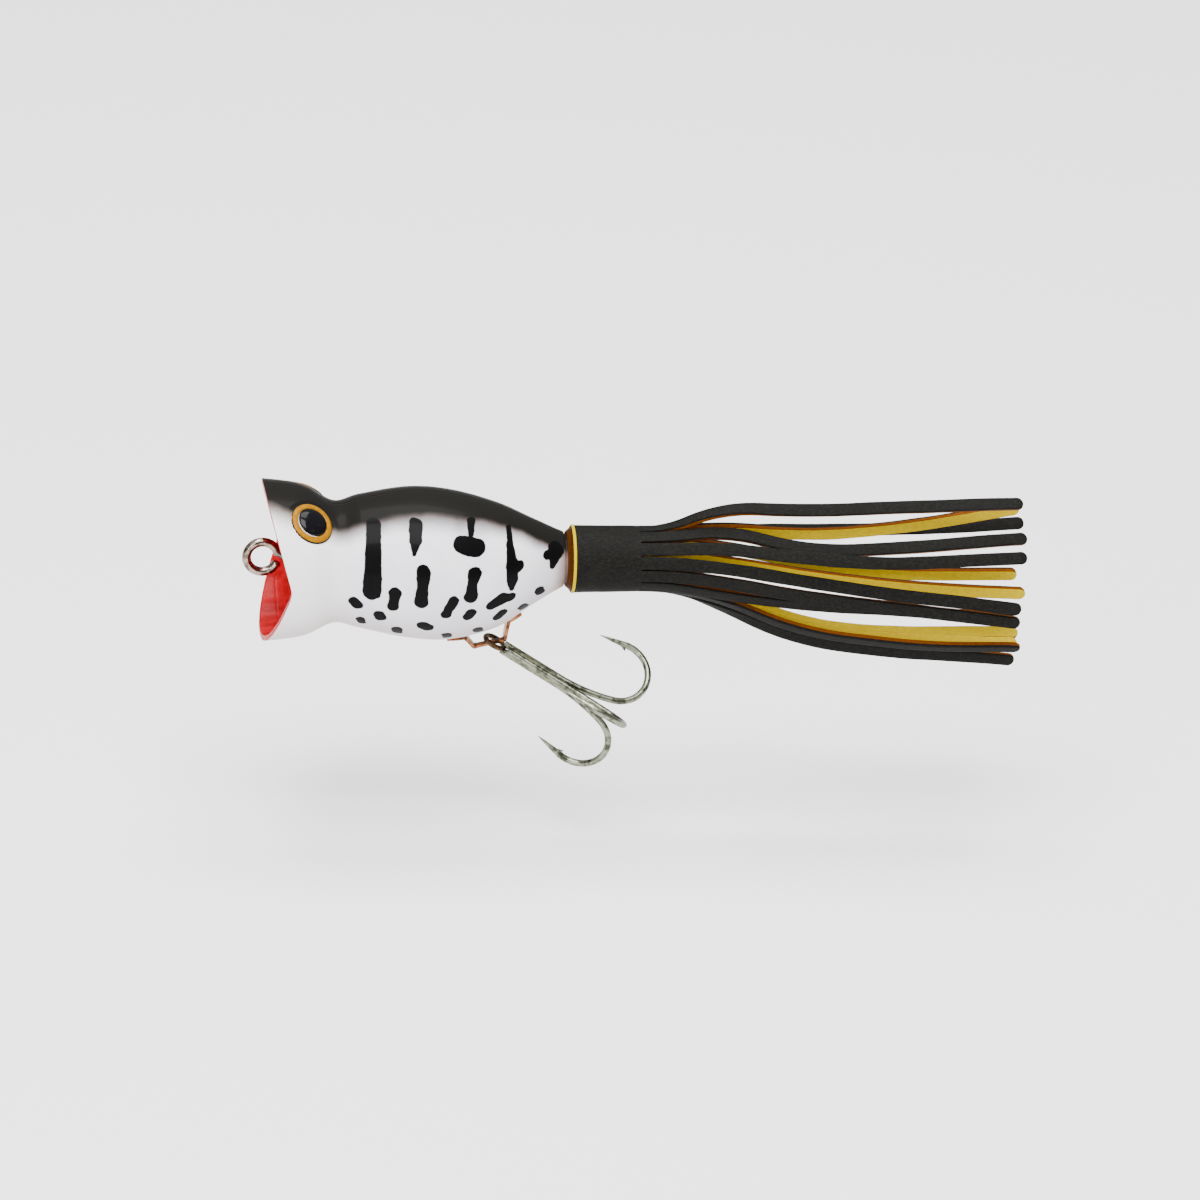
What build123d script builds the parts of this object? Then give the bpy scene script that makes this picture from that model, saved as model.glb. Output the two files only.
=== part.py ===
from build123d import *
import os
from math import cos, pi, radians, sin

os.makedirs("parts", exist_ok=True)

# Frame: millimetres, origin at the centre of the line-tie eye, +X towards the tail, +Z up.
# The far side of the lure is +Y. The body's long axis runs along X at AXIS_Z.
AXIS_Z = -0.5

# Body: stations along the outer skin (x, height of the centre, radius)
SKIN = [
    (-4.0, -0.50, 13.90),
    (4.5, -0.50, 13.10),
    (7.6, -0.60, 12.30),
    (12.0, -0.82, 10.20),
    (16.0, -0.72, 11.12),
    (24.4, -0.95, 12.62),
    (31.4, -1.35, 12.50),
    (39.4, -1.45, 10.40),
    (45.5, -0.85, 7.10),
    (50.4, -0.50, 4.60),
    (54.0, -0.50, 3.40),
]
SKIN_STATIONS = 24
SHOULDER_X = 50.4
WALL = 1.5

# Mouth: the rim is a V in side view, from the upper lip to the corner to the lower lip
UPPER_LIP_X = -0.4
CORNER_X = 3.9
CORNER_Z = -1.7
LOWER_LIP_X = 0.0
CUP_FRONT_X = -3.0
CUP_FRONT_RADIUS = 13.15
CUP_SHOULDER_X = 3.2
CUP_SHOULDER_RADIUS = 12.25
CUP_FLOOR_X = 7.6
RIM_FILLET = 0.4
NOTCH_REACH = 20.0

# Tail peg that the skirt slides over
PEG_RADIUS = 4.15
PEG_START_X = 49.5
PEG_END_X = 60.2
PEG_RIB_RADIUS = 4.3
PEG_RIB_XS = [53.6, 56.0, 58.4]
PEG_RIB_WIDTH = 0.5
PEG_CHAMFER = 0.5

# Line-tie screw eye
TIE_RING_RADIUS = 2.62
TIE_WIRE_RADIUS = 0.76
TIE_LAND_DEPTH = 0.06
TIE_SHANK_END_X = 17.0
TIE_SHANK_RADIUS = 0.75
TIE_TIP_LENGTH = 1.0
TIE_BOSS_RADIUS = 2.3
TIE_BOSS_END_X = 18.0

# Eyes: place on the head and shape
EYE_X = 7.5
EYE_ELEVATION = 52.4
EYE_TILT = 21.0
EYE_RADIUS = 3.8
EYE_SEAT_DEPTH = 1.5
EYE_RIM_HEIGHT = -0.6
EYE_RING_HEIGHT = 0.35
PUPIL_RADIUS = 2.6
PUPIL_HEIGHT = 0.75
EYE_BOSS_RADIUS = 5.0
EYE_BOSS_DEPTH = 3.0

# Alignment pins between the two body halves (x, z)
PIN_PLACES = [(15.5, 7.4), (36.0, 5.8)]
PIN_RADIUS = 0.8
PIN_LENGTH = 1.2
SOCKET_CLEARANCE = 0.05
PIN_BOSS_RADIUS = 1.7
PIN_BOSS_LENGTH = 4.4
PIN_WEB = (1.2, 6.0)

# Belly hanger: bent strap on the belly, seen from the side (x, z), with two screws
STRAP_PATH = [
    (31.5, -14.32),
    (34.3, -14.02),
    (36.0, -16.10),
    (41.1, -14.90),
    (41.6, -11.10),
    (43.5, -9.88),
]
STRAP_THICKNESS = 0.6
STRAP_WIDTH = 2.2
STRAP_NECK_WIDTH = 1.2
STRAP_NECK_X = (36.8, 40.9)
STRAP_BEND_RADIUS = 0.45
FOOT_WIDTH = 3.6
FRONT_FOOT_X = (31.2, 34.4)
REAR_FOOT_X = (41.4, 43.9)
SCREW_SHANK_RADIUS = 0.5
SCREW_SHANK_LENGTH = 4.2
SCREW_HEAD_RADIUS = 0.95
SCREW_HEAD_HEIGHT = 0.55
SCREW_HOLE_RADIUS = 0.55
SCREW_BOSS_RADIUS = 1.5
SCREW_BOSS_DEPTH = 5.0
SCREW_SLOT = (0.25, 0.22)

# Treble hook, drawn along +X from the centre of its ring and then swung into place
RING_CENTRE = (39.5, 0.0, -15.40)
HOOK_SWING = 27.5
HOOK_YAW = -17.5
HOOK_ROLL = -20.5
HOOK_RING_RADIUS = 1.75
HOOK_RING_TURN = 18.0
HOOK_RING_WIRE = 0.45
HOOK_WIRE = 0.575
SHANK_OFFSET = 0.70
SHANK_START = 1.5
SINGLE_SHANK_START = 2.6
SHANK_END = 12.1
HOOK_BENDS = [(9.95, 19.0), (15.6, 172.0), (0.9, 0.0)]
POINT_LENGTH = 4.0
POINT_RADIUS = 0.06
BARB_LENGTH = 1.3
BARB_ANGLE = 32.0
BARB_RADII = (0.34, 0.04)
BARB_ROOT = (0.2, 0.25)
BRAZE_RADIUS = 1.05
BRAZE_START = 2.9

# Skirt: a two-layer rubber sleeve, slit into strands behind the collar
SKIRT_START_X = 51.6
SLIT_X = 63.0
SKIRT_BORE = 4.36
SKIRT_MIDDLE = 5.08
SKIRT_RADIUS = 5.50
SKIRT_FRONT_RADIUS = 5.62
SKIRT_LIP_RADIUS = 5.75
SKIRT_LIP_LENGTH = 0.7
SKIRT_FLARE_X = 50.75
STRAND_COUNT = 14
STRAND_ROOT_GAP = 0.3
STRAND_SIDE_GAP = 0.22
# Each strand bends in the plane of +X and its lean (y, z): lean, angles of the bends, length
STRAND_BENDS = [8.0, 12.0, 16.0, 14.0]
STRANDS = [
    ((0.0, 1.0), (24.0, -27.0, 5.5, -1.0), 64.5),
    ((-0.76, -0.65), (-8.0, 25.0, -19.0, -3.0), 65.0),
    ((-0.97, -0.26), (-1.5, 15.0, -9.0, -8.5), 64.5),
    ((-0.31, -0.95), (5.0, 5.0, -2.0, -1.0), 64.0),
    ((-0.22, -0.97), (6.5, 4.5, -4.0, 0.0), 64.0),
    ((-0.06, -1.0), (10.5, -2.5, -4.5, 0.0), 63.0),
    ((-0.1, -0.99), (10.5, 13.5, -15.5, -6.5), 65.5),
    ((-0.04, -1.0), (19.0, 6.5, -17.0, -4.5), 65.5),
    ((0.0, -1.0), (19.0, 5.0, -17.0, -4.5), 66.0),
    ((0.21, -0.98), (20.0, 11.5, -23.0, -7.5), 67.5),
    ((-0.09, -1.0), (7.5, 2.5, -2.5, -4.0), 66.0),
    ((0.46, -0.89), (7.0, 9.5, -4.0, -12.5), 65.5),
    ((1.0, -0.03), (3.0, -1.5, -0.5, 7.0), 65.5),
    ((0.29, 0.96), (1.5, -8.0, 12.0, 3.0), 64.0),
]

BODY_AXIS = Axis((0, 0, AXIS_Z), (1, 0, 0))
LEFT = -1
RIGHT = 1


def turned(points):
    """Solid of revolution about the body's axis from (x, radius) points."""
    corners = [(x, 0, AXIS_Z + r) for x, r in points]
    face = Face(Wire.make_polygon(corners, close=True))
    return revolve(face, BODY_AXIS, 360)


def rod(start, direction, length, radius):
    """Cylinder from a point along a direction."""
    plane = Plane(origin=start, z_dir=direction)
    return extrude(plane * Circle(radius), length)


def half_space(side):
    """Box on one side of the split plane y = 0."""
    return Pos(30, side * 20, 0) * Box(120, 40, 80)


def bent_bar(face, start, tangent, normal, steps):
    """Sweep a face along arcs and straight runs in one plane; returns the solid and the end."""
    point = Vector(*start)
    along = Vector(*tangent).normalized()
    up = Vector(*normal).normalized()
    turn = along.cross(up)
    body = None
    for length, angle in steps:
        if angle == 0:
            piece = extrude(face, length, dir=along)
            face = face.translate(along * length)
            point = point + along * length
        else:
            radius = length / radians(abs(angle))
            sign = 1 if angle > 0 else -1
            centre = point + up * (sign * radius)
            axis = Axis(centre, turn * sign)
            piece = revolve(face, axis, abs(angle))
            face = face.rotate(axis, abs(angle))
            point = Vertex(*point).rotate(axis, abs(angle)).center()
            spin = Axis((0, 0, 0), turn * sign)
            along = Vertex(*along).rotate(spin, abs(angle)).center()
            up = Vertex(*up).rotate(spin, abs(angle)).center()
        body = piece if body is None else body + piece
    return body, point, along, up


# ---------------------------------------------------------------- body shells


def skin_at(x):
    """Centre height and radius of the skin at x, on a smooth curve through the stations."""
    index = max(i for i, station in enumerate(SKIN[:-1]) if station[0] <= x or i == 0)
    x0, x1 = SKIN[index][0], SKIN[index + 1][0]
    t = (x - x0) / (x1 - x0)

    def slope(i, value):
        before, after = SKIN[max(i - 1, 0)], SKIN[min(i + 1, len(SKIN) - 1)]
        return (after[value] - before[value]) / (after[0] - before[0])

    result = []
    for value in (1, 2):
        y0, y1 = SKIN[index][value], SKIN[index + 1][value]
        m0, m1 = slope(index, value) * (x1 - x0), slope(index + 1, value) * (x1 - x0)
        curve = (2 * t**3 - 3 * t**2 + 1) * y0 + (t**3 - 2 * t**2 + t) * m0
        curve += (3 * t**2 - 2 * t**3) * y1 + (t**3 - t**2) * m1
        result.append(curve)
    return result


def half_loft(side, inset, start, end):
    """Half of the body's skin between two x, moved inwards by inset."""
    faces = []
    for i in range(SKIN_STATIONS + 1):
        x = start + (end - start) * i / SKIN_STATIONS
        z, r = skin_at(x)
        r = r - inset
        arc = ThreePointArc((x, 0, z + r), (x, side * r, z), (x, 0, z - r))
        chord = Line((x, 0, z - r), (x, 0, z + r))
        faces.append(make_face([arc, chord]))
    return loft(faces)


def cup(grow):
    """The mouth's hollow, made larger by grow."""
    rim = (CUP_FRONT_X, AXIS_Z + CUP_FRONT_RADIUS + grow)
    shoulder = (CUP_SHOULDER_X, AXIS_Z + CUP_SHOULDER_RADIUS + grow)
    floor = (CUP_FLOOR_X + grow, AXIS_Z)
    depth = floor[0] - shoulder[0]
    width = shoulder[1] - AXIS_Z
    with BuildSketch(Plane.XZ) as profile:
        with BuildLine():
            Polyline((CUP_FRONT_X, AXIS_Z), rim, shoulder)
            EllipticalCenterArc((shoulder[0], AXIS_Z), depth, width, start_angle=0, arc_size=90)
            Line((CUP_FRONT_X, AXIS_Z), floor)
        make_face()
    return revolve(profile.sketch, BODY_AXIS, 360)


def mouth_notch():
    """Everything in front of the V-shaped rim."""
    front_x, lip_height = SKIN[0][0], skin_at(0)[1]
    outline = [
        (front_x, NOTCH_REACH),
        (UPPER_LIP_X - 0.8, NOTCH_REACH),
        (UPPER_LIP_X, AXIS_Z + lip_height),
        (CORNER_X, CORNER_Z),
        (LOWER_LIP_X, AXIS_Z - lip_height),
        (LOWER_LIP_X - 1.0, -NOTCH_REACH),
        (front_x, -NOTCH_REACH),
    ]
    with BuildSketch(Plane.XZ) as side_view:
        with BuildLine():
            FilletPolyline(*outline, close=True, radius=RIM_FILLET)
        make_face()
    return extrude(side_view.sketch, 30, both=True)


def eye_plane(side):
    """Plane on the head with its normal through the eye's centre."""
    lean = radians(EYE_ELEVATION)
    tilt = radians(EYE_TILT)
    z, r = skin_at(EYE_X)
    out = Vector(0, side * cos(lean), sin(lean))
    origin = Vector(EYE_X, 0, z) + out * r
    return Plane(origin=origin, x_dir=(0, 0, 1), z_dir=out * cos(tilt) + Vector(sin(tilt), 0, 0))


def foot_frame(index):
    """Middle of a strap foot and its inward normal, from the strap's side view."""
    (x0, z0), (x1, z1) = STRAP_PATH[index], STRAP_PATH[index + 1]
    middle = Vector((x0 + x1) / 2, 0, (z0 + z1) / 2)
    along = Vector(x1 - x0, 0, z1 - z0).normalized()
    return middle, Vector(-along.Z, 0, along.X)


def bosses():
    """Solid posts inside the shell that take the screws, the eyes and the pins."""
    posts = rod((CUP_FLOOR_X, 0, AXIS_Z + 0.5), (1, 0, 0), TIE_BOSS_END_X - CUP_FLOOR_X, TIE_BOSS_RADIUS)
    for index in (0, 4):
        middle, inward = foot_frame(index)
        posts += rod(middle, inward, SCREW_BOSS_DEPTH, SCREW_BOSS_RADIUS)
    for side in (LEFT, RIGHT):
        plane = eye_plane(side)
        back = plane.origin - plane.z_dir * EYE_BOSS_DEPTH
        posts += rod(back, plane.z_dir, EYE_BOSS_DEPTH, EYE_BOSS_RADIUS)
    web_width, web_height = PIN_WEB
    for x, z in PIN_PLACES:
        posts += rod((x, -PIN_BOSS_LENGTH / 2, z), (0, 1, 0), PIN_BOSS_LENGTH, PIN_BOSS_RADIUS)
        posts += Pos(x, 0, z + web_height / 2) * Box(web_width, PIN_BOSS_LENGTH, web_height)
    return posts


def shell_half(side, posts):
    """One body half: skin, mouth cup, bosses and half of the tail peg."""
    skin = half_loft(side, 0, SKIN[0][0], SKIN[-1][0])
    skin -= Pos(SHOULDER_X + 10, 0, 0) * Box(20, 20, 20)
    hollow = half_loft(side, WALL, SKIN[1][0], SHOULDER_X - 2 * WALL)
    hollow -= cup(WALL)
    hollow -= posts
    half = skin - mouth_notch() - cup(0) - hollow
    peg = rod((PEG_START_X, 0, AXIS_Z), (1, 0, 0), PEG_END_X - PEG_START_X, PEG_RADIUS)
    peg = chamfer(peg.edges().sort_by(Axis.X)[-1], PEG_CHAMFER)
    for x in PEG_RIB_XS:
        peg += rod((x, 0, AXIS_Z), (1, 0, 0), PEG_RIB_WIDTH, PEG_RIB_RADIUS)
    half += peg & half_space(side)
    half -= rod((CUP_FLOOR_X - 2, 0, 0), (1, 0, 0), TIE_SHANK_END_X - CUP_FLOOR_X + 2, TIE_SHANK_RADIUS)
    for index in (0, 4):
        middle, inward = foot_frame(index)
        half -= rod(middle, inward, SCREW_SHANK_LENGTH, SCREW_SHANK_RADIUS)
    plane = eye_plane(side)
    half -= rod(plane.origin - plane.z_dir * EYE_SEAT_DEPTH, plane.z_dir, 4, EYE_RADIUS)
    for x, z in PIN_PLACES:
        if side == LEFT:
            half += rod((x, -0.2, z), (0, 1, 0), PIN_LENGTH + 0.2, PIN_RADIUS)
        else:
            half -= rod((x, 0, z), (0, 1, 0), PIN_LENGTH + 0.2, PIN_RADIUS + SOCKET_CLEARANCE)
    return half


# ---------------------------------------------------------------- fittings


def eye(side):
    """Domed insert: a flat-bottomed plug with a sloping ring and a domed pupil."""
    ring_top = EYE_RIM_HEIGHT + EYE_RING_HEIGHT
    plug_length = EYE_SEAT_DEPTH + EYE_RIM_HEIGHT
    ring = Cone(EYE_RADIUS, PUPIL_RADIUS, EYE_RING_HEIGHT)
    insert = Pos(0, 0, EYE_RIM_HEIGHT - plug_length / 2) * Cylinder(EYE_RADIUS, plug_length)
    insert += Pos(0, 0, EYE_RIM_HEIGHT + EYE_RING_HEIGHT / 2) * ring
    dome_radius = (PUPIL_RADIUS**2 + PUPIL_HEIGHT**2) / (2 * PUPIL_HEIGHT)
    dome = Pos(0, 0, ring_top + PUPIL_HEIGHT - dome_radius) * Sphere(dome_radius)
    insert += dome & Pos(0, 0, ring_top + PUPIL_HEIGHT / 2) * Box(8, 8, PUPIL_HEIGHT)
    return eye_plane(side).location * insert


def line_tie():
    """Screw eye: closed ring in the XZ plane, with its shank along X."""
    ring = Plane.XZ * Torus(TIE_RING_RADIUS, TIE_WIRE_RADIUS)
    bore = TIE_RING_RADIUS - TIE_WIRE_RADIUS + TIE_LAND_DEPTH
    ring -= Rot(90, 0, 0) * Cylinder(bore, 4)
    tip_x = TIE_SHANK_END_X - TIE_TIP_LENGTH
    shank = rod((TIE_RING_RADIUS, 0, 0), (1, 0, 0), tip_x - TIE_RING_RADIUS, TIE_SHANK_RADIUS)
    cone = Pos(0, 0, TIE_TIP_LENGTH / 2) * Cone(TIE_SHANK_RADIUS, 0.1, TIE_TIP_LENGTH)
    return ring + shank + Plane(origin=(tip_x, 0, 0), z_dir=(1, 0, 0)) * cone


def hanger():
    """Bent strap with a foot at each end and a narrow neck where the hook's ring rides."""
    path = FilletPolyline(*STRAP_PATH, radius=STRAP_BEND_RADIUS)
    side_view = Plane.XZ * trace(path, STRAP_THICKNESS)
    strap = extrude(side_view, FOOT_WIDTH / 2, both=True)
    neck_start, neck_end = STRAP_NECK_X
    half_outline = [
        (FRONT_FOOT_X[0], FOOT_WIDTH / 2),
        (FRONT_FOOT_X[1], FOOT_WIDTH / 2),
        (FRONT_FOOT_X[1] + 0.8, STRAP_WIDTH / 2),
        (neck_start, STRAP_NECK_WIDTH / 2),
        (neck_end, STRAP_NECK_WIDTH / 2),
        (REAR_FOOT_X[0] - 0.2, STRAP_WIDTH / 2),
        (REAR_FOOT_X[0] + 0.3, FOOT_WIDTH / 2),
        (REAR_FOOT_X[1], FOOT_WIDTH / 2),
    ]
    mirrored = [(x, -y) for x, y in reversed(half_outline)]
    with BuildSketch(Plane.XY.offset(-25)) as plan:
        with BuildLine():
            Polyline(*half_outline, *mirrored, close=True)
        make_face()
        fillet(plan.vertices().group_by(Axis.X)[0], 1.2)
        fillet(plan.vertices().group_by(Axis.X)[-1], 1.2)
    strap &= extrude(plan.sketch, 30)
    for index in (0, 4):
        middle, inward = foot_frame(index)
        strap -= rod(middle - inward * 2, inward, 4, SCREW_HOLE_RADIUS)
    return strap


def hanger_screw(index):
    """Dome-head screw through a strap foot into its boss."""
    middle, inward = foot_frame(index)
    seat = middle - inward * (STRAP_THICKNESS / 2)
    plane = Plane(origin=seat, x_dir=(0, 1, 0), z_dir=-inward)
    dome_radius = (SCREW_HEAD_RADIUS**2 + SCREW_HEAD_HEIGHT**2) / (2 * SCREW_HEAD_HEIGHT)
    head = Pos(0, 0, SCREW_HEAD_HEIGHT - dome_radius) * Sphere(dome_radius)
    head &= Pos(0, 0, SCREW_HEAD_HEIGHT / 2) * Box(4, 4, SCREW_HEAD_HEIGHT)
    slot_width, slot_depth = SCREW_SLOT
    head -= Pos(0, 0, SCREW_HEAD_HEIGHT) * Box(slot_width, 3, 2 * slot_depth)
    screw = plane.location * head
    screw += rod(seat, inward, SCREW_SHANK_LENGTH + STRAP_THICKNESS / 2 - 0.1, SCREW_SHANK_RADIUS)
    return screw


# ---------------------------------------------------------------- treble hook


def hook_direction(angle):
    """Outward direction of a hook that stands at an angle round the shank."""
    return Vector(0, -cos(radians(angle)), sin(radians(angle)))


def single_hook(angle, start):
    """One hook: shank, bend, point and barb, along +X from the ring's centre."""
    out = hook_direction(angle)
    foot = Vector(start, 0, 0) + out * SHANK_OFFSET
    face = Plane(origin=foot, z_dir=(1, 0, 0)) * Circle(HOOK_WIRE)
    steps = [(SHANK_END - start, 0.0)] + HOOK_BENDS
    wire, end, along, up = bent_bar(face, foot, (1, 0, 0), out, steps)
    point = Pos(0, 0, POINT_LENGTH / 2) * Cone(HOOK_WIRE, POINT_RADIUS, POINT_LENGTH)
    tip = Plane(origin=end, z_dir=along) * point
    barb_axis = (along * -cos(radians(BARB_ANGLE)) + up * sin(radians(BARB_ANGLE))).normalized()
    root = end + along * BARB_ROOT[0] + up * BARB_ROOT[1]
    sliver = Pos(0, 0, BARB_LENGTH / 2) * Cone(*BARB_RADII, BARB_LENGTH)
    barb = Plane(origin=root, z_dir=barb_axis) * sliver
    return wire + tip + barb


def placed(shape):
    """Swing the finished treble into its resting place on the hanger."""
    shape = shape.rotate(Axis.X, HOOK_ROLL)
    shape = shape.rotate(Axis.Y, HOOK_SWING)
    shape = shape.rotate(Axis.Z, HOOK_YAW)
    return shape.translate(Vector(*RING_CENTRE))


def double_hook():
    """Two hooks and the ring, bent from one wire."""
    pair = single_hook(120, SHANK_START) + single_hook(-120, SHANK_START)
    return pair + Torus(HOOK_RING_RADIUS, HOOK_RING_WIRE).rotate(Axis.X, HOOK_RING_TURN)


def braze():
    """Braze that fills the grooves between the three shanks."""
    bar = rod((BRAZE_START, 0, 0), (1, 0, 0), SHANK_END - BRAZE_START, BRAZE_RADIUS)
    for angle in (0, 120, -120):
        foot = Vector(BRAZE_START - 1, 0, 0) + hook_direction(angle) * SHANK_OFFSET
        bar -= rod(foot, (1, 0, 0), SHANK_END - BRAZE_START + 2, HOOK_WIRE)
    return bar


# ---------------------------------------------------------------- skirt


def collar_outer():
    start = SKIRT_START_X + SKIRT_LIP_LENGTH
    return turned([
        (start, SKIRT_MIDDLE),
        (start, SKIRT_FRONT_RADIUS),
        (SLIT_X, SKIRT_RADIUS),
        (SLIT_X, SKIRT_MIDDLE),
    ])


def collar_inner():
    """Inner layer, with a front edge that flares out from the body's tail and over the outer layer."""
    lip_end = SKIRT_START_X + SKIRT_LIP_LENGTH
    return turned([
        (SKIRT_FLARE_X, SKIRT_BORE),
        (SKIRT_FLARE_X, SKIRT_BORE + 0.25),
        (SKIRT_START_X, SKIRT_LIP_RADIUS - 0.2),
        (SKIRT_START_X + 0.3, SKIRT_LIP_RADIUS),
        (lip_end, SKIRT_LIP_RADIUS - 0.05),
        (lip_end, SKIRT_MIDDLE),
        (SLIT_X, SKIRT_MIDDLE),
        (SLIT_X, SKIRT_BORE),
    ])


def strand(number):
    """One strand, cut from the sleeve as a ring sector and bent in one plane."""
    turn = 2 * pi * number / STRAND_COUNT
    root_x = SLIT_X + STRAND_ROOT_GAP
    middle = (SKIRT_BORE + SKIRT_RADIUS) / 2
    half_angle = pi / STRAND_COUNT - STRAND_SIDE_GAP / 2 / middle

    def on_ring(radius, angle):
        return Vector(root_x, -radius * sin(angle), AXIS_Z + radius * cos(angle))

    low, high = turn - half_angle, turn + half_angle
    edges = [
        ThreePointArc(on_ring(SKIRT_RADIUS, low), on_ring(SKIRT_RADIUS, turn), on_ring(SKIRT_RADIUS, high)),
        Line(on_ring(SKIRT_RADIUS, high), on_ring(SKIRT_BORE, high)),
        ThreePointArc(on_ring(SKIRT_BORE, high), on_ring(SKIRT_BORE, turn), on_ring(SKIRT_BORE, low)),
        Line(on_ring(SKIRT_BORE, low), on_ring(SKIRT_RADIUS, low)),
    ]
    lean, angles, length = STRANDS[number]
    steps = list(zip(STRAND_BENDS, angles)) + [(length - sum(STRAND_BENDS), 0)]
    ribbon, *_ = bent_bar(make_face(edges), on_ring(middle, turn), (1, 0, 0), (0, *lean), steps)
    return ribbon


# ---------------------------------------------------------------- write the parts

POSTS = bosses()
parts = {
    "body_left_shell": shell_half(LEFT, POSTS),
    "body_right_shell": shell_half(RIGHT, POSTS),
    "eye_left": eye(LEFT),
    "eye_right": eye(RIGHT),
    "line_tie_screw_eye": line_tie(),
    "belly_hanger": hanger(),
    "hanger_screw_front": hanger_screw(0),
    "hanger_screw_rear": hanger_screw(4),
    "treble_double_hook": placed(double_hook()),
    "treble_single_hook": placed(single_hook(0, SINGLE_SHANK_START)),
    "treble_braze": placed(braze()),
    "skirt_collar_outer": collar_outer(),
    "skirt_collar_inner": collar_inner(),
}
for number in range(STRAND_COUNT):
    parts[f"strand_{number + 1:02d}"] = strand(number)

for name, shape in parts.items():
    export_step(shape, f"parts/{name}.step")
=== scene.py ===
import math
import random

import bmesh
import bpy
from mathutils import Matrix, Vector, noise


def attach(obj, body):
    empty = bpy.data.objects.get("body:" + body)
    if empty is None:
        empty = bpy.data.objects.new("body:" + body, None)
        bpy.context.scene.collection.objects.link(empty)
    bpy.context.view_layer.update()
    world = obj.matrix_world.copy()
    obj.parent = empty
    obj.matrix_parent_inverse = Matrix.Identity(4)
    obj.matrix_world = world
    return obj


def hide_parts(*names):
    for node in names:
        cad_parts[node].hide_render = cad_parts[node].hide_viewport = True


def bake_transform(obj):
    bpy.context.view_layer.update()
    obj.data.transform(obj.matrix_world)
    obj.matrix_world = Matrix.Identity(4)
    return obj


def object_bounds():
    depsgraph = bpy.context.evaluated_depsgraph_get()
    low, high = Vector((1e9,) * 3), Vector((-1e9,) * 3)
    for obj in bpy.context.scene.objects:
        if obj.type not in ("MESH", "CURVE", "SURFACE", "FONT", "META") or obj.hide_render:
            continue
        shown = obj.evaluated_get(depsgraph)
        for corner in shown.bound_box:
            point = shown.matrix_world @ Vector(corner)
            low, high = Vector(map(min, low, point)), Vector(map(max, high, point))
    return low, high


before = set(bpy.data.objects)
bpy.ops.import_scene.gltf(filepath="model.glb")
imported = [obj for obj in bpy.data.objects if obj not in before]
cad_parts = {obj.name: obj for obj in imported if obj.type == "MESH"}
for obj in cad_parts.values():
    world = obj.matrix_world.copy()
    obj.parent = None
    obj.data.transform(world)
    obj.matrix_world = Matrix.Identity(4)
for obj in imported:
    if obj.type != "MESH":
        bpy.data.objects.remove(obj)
cad_low, cad_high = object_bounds()

MM = 0.001
AXIS_Z = -0.5  # height of the body's long axis, in mm; the frame's origin is the line-tie eye
LEFT, RIGHT = -1, 1

# Camera: degrees to the lure's front, above it and rolled; lens in mm, the rest in metres
CAMERA_SIDE = 7.0
CAMERA_RISE = 21.6
CAMERA_ROLL = -2.43
CAMERA_LENS = 800.0
CAMERA_DISTANCE = 4.436
TIE_FROM_MIDDLE = (-0.0562, 0.0072)  # where the line tie stands in the picture
LAMP_TARGET = (0.05, 0, 0)
# Lamps: name, place, size and power, in metres and watts
LAMPS = [
    ("key", (-0.05, -0.42, 0.95), (0.75, 0.65), 24.0),
    ("top", (0.1, 0.30, 1.2), (0.9, 0.6), 16.0),
    ("side", (-0.45, -0.75, 0.20), (0.12, 0.5), 4.0),
]
SKY_RAMP = (0.1, 0.8, 0.28, 1.0)  # the sky's light rises between two heights, from low to full
FLOOR_DROP = 0.012  # below the part, clear of the hook and strands when they swing
FLOOR_REACH = 6.0

# Body skin: (x, height of the centre, radius) in mm
SKIN = [
    (-4.0, -0.50, 13.90),
    (4.5, -0.50, 13.10),
    (7.6, -0.60, 12.30),
    (12.0, -0.82, 10.20),
    (16.0, -0.72, 11.12),
    (24.4, -0.95, 12.62),
    (31.4, -1.35, 12.50),
    (39.4, -1.45, 10.40),
    (45.5, -0.85, 7.10),
    (50.4, -0.50, 4.60),
    (54.0, -0.50, 3.40),
]
SHOULDER_X = 50.4  # where the body ends and the tail peg starts

# Mouth: (x, z) of the rim's corners, then the cup; after it the seam and the tail peg
UPPER_LIP = (-0.4, 13.1)
MOUTH_CORNER = (3.9, -1.7)
LOWER_LIP = (0.0, -14.1)
CUP_SHOULDER_X = 3.2
CUP_SHOULDER_RADIUS = 12.25
CUP_TAPER = 0.9 / 6.2
CUP_FLOOR_X = 7.6
MOUTH_RADIUS = 13.3
SEAM_DEPTH = 0.05
SEAM_WIDTH = 0.12
PEG_END_X = 60.2
PEG_RADIUS = 4.15
PEG_RIB_RADIUS = 4.29
PEG_RIB_XS = [53.6, 56.0, 58.4]

# Eyes: place on the skin, lean of their axis in degrees, and sizes in mm
EYE_X = 7.5
EYE_ELEVATION = 52.4
EYE_TILT = 21.0
EYE_RADIUS = 3.8
PUPIL_RADIUS = 2.6
EYE_SINK = -0.25
EYE_PLUG_BOTTOM = -1.1
EYE_GROOVE_DEPTH = 0.22
EYE_GROOVE_WIDTH = 0.28
EYE_GROOVE_REACH = 8
PUPIL_DOME_HEIGHT = 0.72

# Line tie: radii of the ring, of its wire and of the shank's
TIE_RING_RADIUS = 2.62
TIE_WIRE = 0.76
TIE_SHANK_WIRE = 0.75

# Skirt: places along x, radii of its two layers, and the lengths over which each strand bends
SKIRT_FLARE_X = 50.75
SKIRT_START_X = 51.6
SLIT_X = 63.0
SKIRT_BORE = 4.36
SKIRT_MIDDLE = 5.08
SKIRT_RADIUS = 5.50
SKIRT_FRONT_RADIUS = 5.62
SKIRT_LIP_RADIUS = 5.75
STRAND_BENDS = [8.0, 12.0, 16.0, 14.0]
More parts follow.
